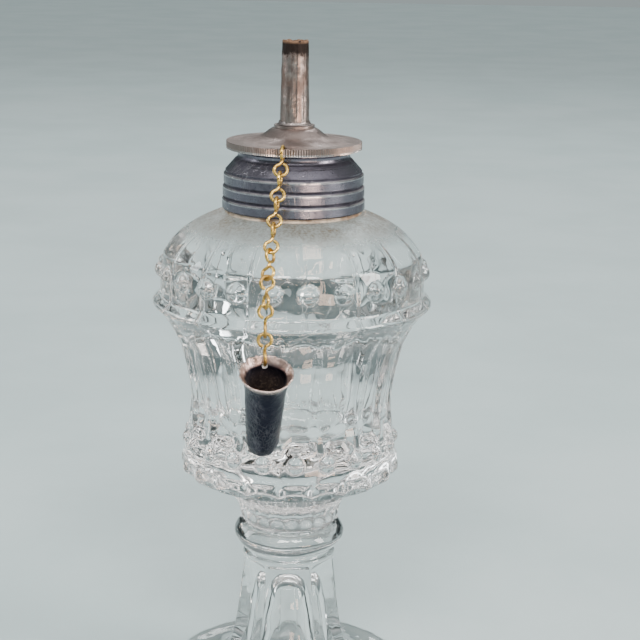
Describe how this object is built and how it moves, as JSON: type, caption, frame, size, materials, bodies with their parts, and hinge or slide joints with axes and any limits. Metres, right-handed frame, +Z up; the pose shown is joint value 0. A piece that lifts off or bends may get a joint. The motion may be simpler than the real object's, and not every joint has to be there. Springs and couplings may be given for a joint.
{
  "type": "burning-fluid table lamp",
  "caption": "Pressed-glass alcohol lamp: footed beaded glass reservoir, pewter screw collar, one-tube wick burner and a snuffer cap on a brass chain.",
  "frame": {"origin": "centre of the foot's underside, on the table", "axes": "+Z up along the lamp's axis; the chain and snuffer hang on the -Y side, a little towards -X"},
  "size_m": [0.0758, 0.0894, 0.1819],
  "materials": {
    "flint_glass": "clear pressed flint glass, fire polished, faint grey-pink tint",
    "plaster": "aged pinkish plaster, matt",
    "pewter_collar": "dull blue-grey pewter, turned rings, worn edges",
    "pewter_cap": "dull grey pewter, turned rings, milled edge",
    "solder": "dull solder",
    "tube_sheet": "tarnished sheet, sooty at the tip",
    "wick_cotton": "braided cotton, charred at the tip",
    "chain_brass": "aged brass wire",
    "pewter_snuffer": "blue-black patinated pewter, worn bright lip"
  },
  "bodies": {
    "lamp": {"foot": "flint_glass", "wafer": "flint_glass", "font": "flint_glass", "plaster_bed": "plaster", "collar": "pewter_collar"},
    "burner_ring": {"tube_solder": "solder"},
    "burner": {"burner_cap": "pewter_cap", "wick_tube": "tube_sheet"},
    "wick": {"wick": "wick_cotton"},
    "chain_link_1": {"chain_link_1": "chain_brass"},
    "chain_link_2": {"chain_link_2": "chain_brass"},
    "chain_link_3": {"chain_link_3": "chain_brass"},
    "chain_link_4": {"chain_link_4": "chain_brass"},
    "chain_link_5": {"chain_link_5": "chain_brass"},
    "chain_link_6": {"chain_link_6": "chain_brass"},
    "chain_link_7": {"chain_link_7": "chain_brass"},
    "chain_link_8": {"chain_link_8": "chain_brass"},
    "snuffer": {"snuffer": "pewter_snuffer"}
  },
  "joints": [
    {"name": "burner_lift", "type": "slide", "parent": "lamp", "child": "burner_ring", "axis": [0, 0, 1], "range_m": [0, 0.0054]},
    {"name": "burner_turn", "type": "hinge", "parent": "burner_ring", "child": "burner", "pos_m": [0, 0, 0.15], "axis": [0, 0, 1], "range_deg": [0, 1080]},
    {"name": "wick_slide", "type": "slide", "parent": "burner", "child": "wick", "axis": [0, 0, 1], "range_m": [-0.002, 0.005]},
    {"name": "chain_swing_1", "type": "hinge", "parent": "burner", "child": "chain_link_1", "pos_m": [-0.00292, -0.01744, 0.15412], "axis": [-0.9863, 0.165, 0], "range_deg": [0, 25]},
    {"name": "chain_swing_2", "type": "hinge", "parent": "chain_link_1", "child": "chain_link_2", "pos_m": [-0.00347, -0.02076, 0.14873], "axis": [-0.9863, 0.165, 0], "range_deg": [0, 20]},
    {"name": "chain_swing_3", "type": "hinge", "parent": "chain_link_2", "child": "chain_link_3", "pos_m": [-0.00417, -0.02493, 0.14291], "axis": [-0.9863, 0.165, 0], "range_deg": [0, 20]},
    {"name": "chain_swing_4", "type": "hinge", "parent": "chain_link_3", "child": "chain_link_4", "pos_m": [-0.00487, -0.0291, 0.13709], "axis": [-0.9863, 0.165, 0], "range_deg": [0, 20]},
    {"name": "chain_swing_5", "type": "hinge", "parent": "chain_link_4", "child": "chain_link_5", "pos_m": [-0.00557, -0.03328, 0.13126], "axis": [-0.9863, 0.165, 0], "range_deg": [0, 20]},
    {"name": "chain_swing_6", "type": "hinge", "parent": "chain_link_5", "child": "chain_link_6", "pos_m": [-0.00623, -0.03725, 0.12529], "axis": [-0.8361, 0.4951, -0.2363], "range_deg": [0, 20]},
    {"name": "chain_swing_7", "type": "hinge", "parent": "chain_link_6", "child": "chain_link_7", "pos_m": [-0.00655, -0.03915, 0.11922], "axis": [-0.9999, -0.0083, 0.0121], "range_deg": [0, 20]},
    {"name": "chain_swing_8", "type": "hinge", "parent": "chain_link_7", "child": "chain_link_8", "pos_m": [-0.00664, -0.0397, 0.11204], "axis": [-0.9952, -0.0976, 0], "range_deg": [0, 20]},
    {"name": "snuffer_swing", "type": "hinge", "parent": "chain_link_8", "child": "snuffer", "pos_m": [-0.00664, -0.0397, 0.10569], "axis": [-0.9952, -0.0976, 0], "range_deg": [0, 45]}
  ],
  "couplings": [
    {"joint": "burner_lift", "follows": "burner_turn", "m_per_rad": 0.00028648}
  ]
}
